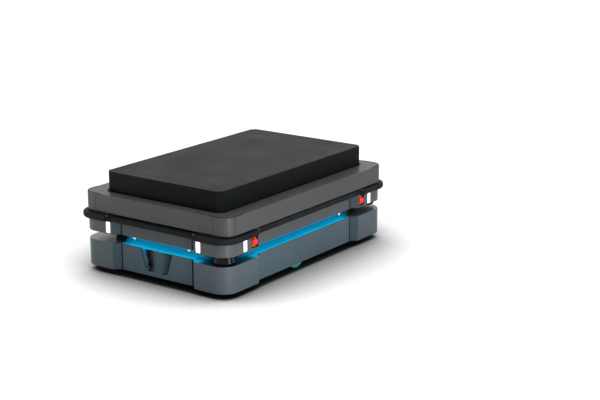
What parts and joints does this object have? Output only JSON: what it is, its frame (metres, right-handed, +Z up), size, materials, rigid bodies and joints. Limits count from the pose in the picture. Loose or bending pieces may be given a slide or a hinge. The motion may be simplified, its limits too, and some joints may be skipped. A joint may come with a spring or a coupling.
{
  "type": "autonomous mobile robot",
  "caption": "Low wheeled transport robot with stepped corner covers, scan slot all round, bumper band and a raised lifting platform.",
  "frame": {"origin": "centre of the plan on the floor", "axes": "+Z up, +X to the robot's right seen from behind its front, -Y the front with the camera pockets"},
  "size_m": [0.952, 1.408, 0.5],
  "materials": {
    "grey_cover": "satin grey moulded cover",
    "band_rubber": "matt black",
    "frame_steel": "black powder coat",
    "lift_paint": "smooth black coat",
    "slot_plastic": "smooth black",
    "battery_case": "brushed",
    "light_guide": "emissive cyan light guide",
    "signal_lens": "emissive white lens",
    "stop_yellow": "gloss",
    "stop_red": "gloss",
    "scanner_glass": "dark gloss",
    "mirror_metal": "polished",
    "button_clear": "clear dome",
    "key_metal": "satin",
    "fork_zinc": "zinc plated",
    "caster_tread": "dark polyurethane",
    "hub_metal": "turned",
    "drive_tread": "teal polyurethane tread"
  },
  "bodies": {
    "chassis": {"battery_pack": "battery_case", "belly_plate": "frame_steel", "bumper_band": "band_rubber", "camera_modules": "slot_plastic", "chassis_frame": "frame_steel", "control_panel": "slot_plastic", "cover_corners": "grey_cover", "cover_top": "grey_cover", "cover_walls": "grey_cover", "deck_plate": "frame_steel", "electronics_box": "slot_plastic", "estop_plates": "stop_yellow", "frame_members": "frame_steel", "lift_columns": "frame_steel", "light_strips": "light_guide", "lower_corner_front_left": "grey_cover", "lower_corner_front_right": "grey_cover", "lower_corner_rear_left": "grey_cover", "lower_corner_rear_right": "grey_cover", "scanner_housings": "slot_plastic", "scanner_windows": "scanner_glass", "signal_lights": "signal_lens", "slot_wall": "slot_plastic", "upper_corner_front_left": "grey_cover", "upper_corner_front_right": "grey_cover", "upper_corner_rear_left": "grey_cover", "upper_corner_rear_right": "grey_cover", "upper_panels": "grey_cover"},
    "lower_panel_front": {"lower_panel_front": "grey_cover"},
    "lower_panel_rear": {"lower_panel_rear": "grey_cover"},
    "lower_panel_right": {"lower_panel_right": "grey_cover"},
    "lower_panel_left": {"lower_panel_left": "grey_cover"},
    "release_button_front_left": {"release_button_front_left": "button_clear"},
    "release_button_front_right": {"release_button_front_right": "button_clear"},
    "release_button_rear_left": {"release_button_rear_left": "button_clear"},
    "release_button_rear_right": {"release_button_rear_right": "button_clear"},
    "release_button_side_left": {"release_button_side_left": "button_clear"},
    "release_button_side_right": {"release_button_side_right": "button_clear"},
    "estop_button_front_left": {"estop_button_front_left": "stop_red"},
    "estop_button_front_right": {"estop_button_front_right": "stop_red"},
    "estop_button_rear_left": {"estop_button_rear_left": "stop_red"},
    "estop_button_rear_right": {"estop_button_rear_right": "stop_red"},
    "scanner_mirror_front": {"scanner_mirror_front": "mirror_metal"},
    "scanner_mirror_rear": {"scanner_mirror_rear": "mirror_metal"},
    "lift_platform": {"lift_platform": "lift_paint"},
    "caster_fork_front_left": {"caster_fork_front_left": "fork_zinc"},
    "caster_wheel_front_left": {"caster_wheel_front_left": "caster_tread"},
    "caster_fork_front_right": {"caster_fork_front_right": "fork_zinc"},
    "caster_wheel_front_right": {"caster_wheel_front_right": "caster_tread"},
    "caster_fork_rear_left": {"caster_fork_rear_left": "fork_zinc"},
    "caster_wheel_rear_left": {"caster_wheel_rear_left": "caster_tread"},
    "caster_fork_rear_right": {"caster_fork_rear_right": "fork_zinc"},
    "caster_wheel_rear_right": {"caster_wheel_rear_right": "caster_tread"},
    "drive_arm_left": {"drive_arm_left": "frame_steel"},
    "drive_wheel_left": {"drive_hub_left": "hub_metal", "drive_tyre_left": "drive_tread"},
    "drive_arm_right": {"drive_arm_right": "frame_steel"},
    "drive_wheel_right": {"drive_hub_right": "hub_metal", "drive_tyre_right": "drive_tread"},
    "mode_key": {"mode_key": "key_metal"}
  },
  "joints": [
    {"name": "pull_panel_front", "type": "slide", "parent": "chassis", "child": "lower_panel_front", "axis": [0, -1, 0], "range_m": [0, 0.15]},
    {"name": "pull_panel_rear", "type": "slide", "parent": "chassis", "child": "lower_panel_rear", "axis": [0, 1, 0], "range_m": [0, 0.15]},
    {"name": "pull_panel_right", "type": "slide", "parent": "chassis", "child": "lower_panel_right", "axis": [1, 0, 0], "range_m": [0, 0.15]},
    {"name": "pull_panel_left", "type": "slide", "parent": "chassis", "child": "lower_panel_left", "axis": [-1, 0, 0], "range_m": [0, 0.15]},
    {"name": "press_release_front_left", "type": "slide", "parent": "chassis", "child": "release_button_front_left", "axis": [0, 1, 0], "range_m": [0, 0.003], "stiffness_N_per_m": 800, "springref_m": -0.001},
    {"name": "press_release_front_right", "type": "slide", "parent": "chassis", "child": "release_button_front_right", "axis": [0, 1, 0], "range_m": [0, 0.003], "stiffness_N_per_m": 800, "springref_m": -0.001},
    {"name": "press_release_rear_left", "type": "slide", "parent": "chassis", "child": "release_button_rear_left", "axis": [0, -1, 0], "range_m": [0, 0.003], "stiffness_N_per_m": 800, "springref_m": -0.001},
    {"name": "press_release_rear_right", "type": "slide", "parent": "chassis", "child": "release_button_rear_right", "axis": [0, -1, 0], "range_m": [0, 0.003], "stiffness_N_per_m": 800, "springref_m": -0.001},
    {"name": "press_release_side_left", "type": "slide", "parent": "chassis", "child": "release_button_side_left", "axis": [1, 0, 0], "range_m": [0, 0.003], "stiffness_N_per_m": 800, "springref_m": -0.001},
    {"name": "press_release_side_right", "type": "slide", "parent": "chassis", "child": "release_button_side_right", "axis": [-1, 0, 0], "range_m": [0, 0.003], "stiffness_N_per_m": 800, "springref_m": -0.001},
    {"name": "press_estop_front_left", "type": "slide", "parent": "chassis", "child": "estop_button_front_left", "axis": [1, 0, 0], "range_m": [0, 0.004]},
    {"name": "press_estop_front_right", "type": "slide", "parent": "chassis", "child": "estop_button_front_right", "axis": [-1, 0, 0], "range_m": [0, 0.004]},
    {"name": "press_estop_rear_left", "type": "slide", "parent": "chassis", "child": "estop_button_rear_left", "axis": [1, 0, 0], "range_m": [0, 0.004]},
    {"name": "press_estop_rear_right", "type": "slide", "parent": "chassis", "child": "estop_button_rear_right", "axis": [-1, 0, 0], "range_m": [0, 0.004]},
    {"name": "spin_scanner_front", "type": "hinge", "parent": "chassis", "child": "scanner_mirror_front", "pos_m": [0.384, -0.606, 0.19], "axis": [0, 0, 1], "continuous": true},
    {"name": "spin_scanner_rear", "type": "hinge", "parent": "chassis", "child": "scanner_mirror_rear", "pos_m": [-0.384, 0.606, 0.19], "axis": [0, 0, 1], "continuous": true},
    {"name": "lift", "type": "slide", "parent": "chassis", "child": "lift_platform", "axis": [0, 0, 1], "range_m": [-0.085, 0]},
    {"name": "swivel_front_left", "type": "hinge", "parent": "chassis", "child": "caster_fork_front_left", "pos_m": [-0.29, -0.5, 0.13], "axis": [0, 0, 1], "continuous": true},
    {"name": "roll_front_left", "type": "hinge", "parent": "caster_fork_front_left", "child": "caster_wheel_front_left", "pos_m": [-0.29, -0.455, 0.0625], "axis": [1, 0, 0], "continuous": true},
    {"name": "swivel_front_right", "type": "hinge", "parent": "chassis", "child": "caster_fork_front_right", "pos_m": [0.29, -0.5, 0.13], "axis": [0, 0, 1], "continuous": true},
    {"name": "roll_front_right", "type": "hinge", "parent": "caster_fork_front_right", "child": "caster_wheel_front_right", "pos_m": [0.29, -0.455, 0.0625], "axis": [1, 0, 0], "continuous": true},
    {"name": "swivel_rear_left", "type": "hinge", "parent": "chassis", "child": "caster_fork_rear_left", "pos_m": [-0.29, 0.5, 0.13], "axis": [0, 0, 1], "continuous": true},
    {"name": "roll_rear_left", "type": "hinge", "parent": "caster_fork_rear_left", "child": "caster_wheel_rear_left", "pos_m": [-0.29, 0.545, 0.0625], "axis": [1, 0, 0], "continuous": true},
    {"name": "swivel_rear_right", "type": "hinge", "parent": "chassis", "child": "caster_fork_rear_right", "pos_m": [0.29, 0.5, 0.13], "axis": [0, 0, 1], "continuous": true},
    {"name": "roll_rear_right", "type": "hinge", "parent": "caster_fork_rear_right", "child": "caster_wheel_rear_right", "pos_m": [0.29, 0.545, 0.0625], "axis": [1, 0, 0], "continuous": true},
    {"name": "suspension_left", "type": "hinge", "parent": "chassis", "child": "drive_arm_left", "pos_m": [-0.324, 0.152, 0.12], "axis": [1, 0, 0], "range_deg": [-4, 4], "stiffness_Nm_per_rad": 400, "springref_deg": 11.46},
    {"name": "drive_left", "type": "hinge", "parent": "drive_arm_left", "child": "drive_wheel_left", "pos_m": [-0.372, -0.048, 0.07], "axis": [1, 0, 0], "continuous": true},
    {"name": "suspension_right", "type": "hinge", "parent": "chassis", "child": "drive_arm_right", "pos_m": [0.324, 0.152, 0.12], "axis": [1, 0, 0], "range_deg": [-4, 4], "stiffness_Nm_per_rad": 400, "springref_deg": 11.46},
    {"name": "drive_right", "type": "hinge", "parent": "drive_arm_right", "child": "drive_wheel_right", "pos_m": [0.372, -0.048, 0.07], "axis": [1, 0, 0], "continuous": true},
    {"name": "turn_key", "type": "hinge", "parent": "chassis", "child": "mode_key", "pos_m": [0.385, 0.66, 0.19], "axis": [0, 1, 0], "range_deg": [-45, 45]}
  ]
}
